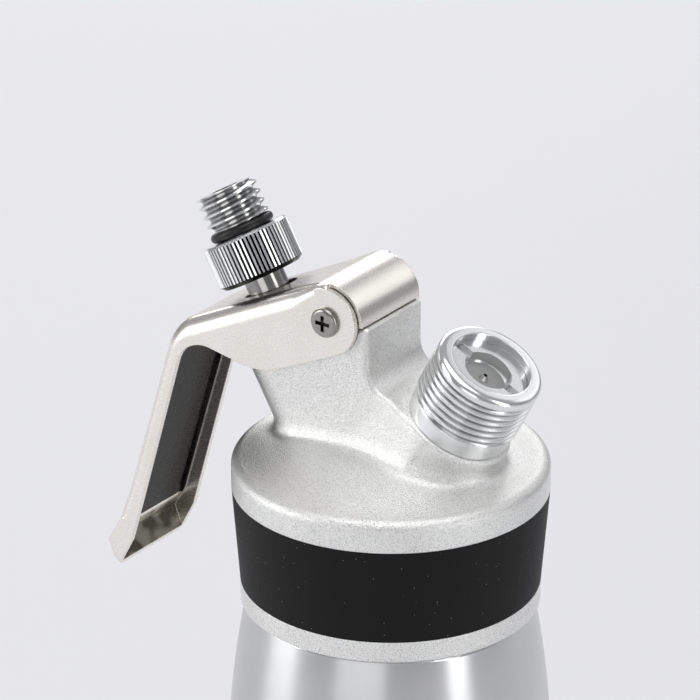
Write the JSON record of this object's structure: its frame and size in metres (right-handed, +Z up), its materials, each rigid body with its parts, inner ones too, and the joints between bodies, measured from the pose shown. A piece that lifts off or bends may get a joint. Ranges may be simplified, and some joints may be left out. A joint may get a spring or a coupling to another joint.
{
  "type": "whipped cream dispenser",
  "caption": "Hand-held whipped cream dispenser: metal bottle, screw-on cast head with squeeze lever, tilted nozzle adapter and threaded gas charger inlet.",
  "frame": {"origin": "centre of the bottle's flat base", "axes": "+Z up along the bottle, the nozzle and the lever's handle on the -X side, the charger inlet on the +X side"},
  "size_m": [0.1095, 0.075, 0.2415],
  "materials": {
    "satin_aluminium": "satin, drawn",
    "blasted_aluminium": "fine blasted casting",
    "black_silicone": "matte",
    "grey_rubber": "matte",
    "polished_steel": "satin polished",
    "bright_steel": "machined",
    "white_plastic": "natural",
    "black_rubber": "matte",
    "machined_aluminium": "bright turned"
  },
  "bodies": {
    "bottle": {"bottle": "satin_aluminium"},
    "head_lift": {"head_gasket": "grey_rubber"},
    "head": {"head_casting": "blasted_aluminium", "grip_band": "black_silicone", "pivot_barrel": "bright_steel", "pivot_screw": "bright_steel", "stem_guide": "white_plastic", "charger_inlet": "machined_aluminium", "inlet_o_ring": "black_rubber", "piercing_plug": "machined_aluminium", "piercing_pin": "bright_steel", "charger_seal": "grey_rubber", "check_valve_sleeve": "black_rubber", "return_spring": "bright_steel"},
    "lever": {"lever": "polished_steel"},
    "valve": {"thrust_collar": "bright_steel", "valve_stem": "bright_steel", "stem_o_ring": "black_rubber", "valve_gasket": "grey_rubber", "gasket_retainer": "bright_steel", "nozzle_adapter": "machined_aluminium", "adapter_o_ring": "black_rubber", "adapter_washer": "grey_rubber"}
  },
  "joints": [
    {"name": "head_rise", "type": "slide", "parent": "bottle", "child": "head_lift", "axis": [0, 0, 1], "range_m": [0, 0.014]},
    {"name": "head_unscrew", "type": "hinge", "parent": "head_lift", "child": "head", "pos_m": [0, 0, 0], "axis": [0, 0, 1], "range_deg": [0, 1260]},
    {"name": "lever_press", "type": "hinge", "parent": "head", "child": "lever", "pos_m": [-0.009, 0, 0.2195], "axis": [0, -1, 0], "range_deg": [0, 7.5], "stiffness_Nm_per_rad": 2.8, "springref_deg": -11.46},
    {"name": "valve_press", "type": "slide", "parent": "head", "child": "valve", "axis": [0.5, 0, -0.866], "range_m": [0, 0.003], "deforming": ["return_spring"]}
  ],
  "couplings": [
    {"joint": "head_rise", "follows": "head_unscrew", "m_per_rad": 0.00063662},
    {"joint": "valve_press", "follows": "lever_press", "m_per_rad": 0.0228}
  ]
}
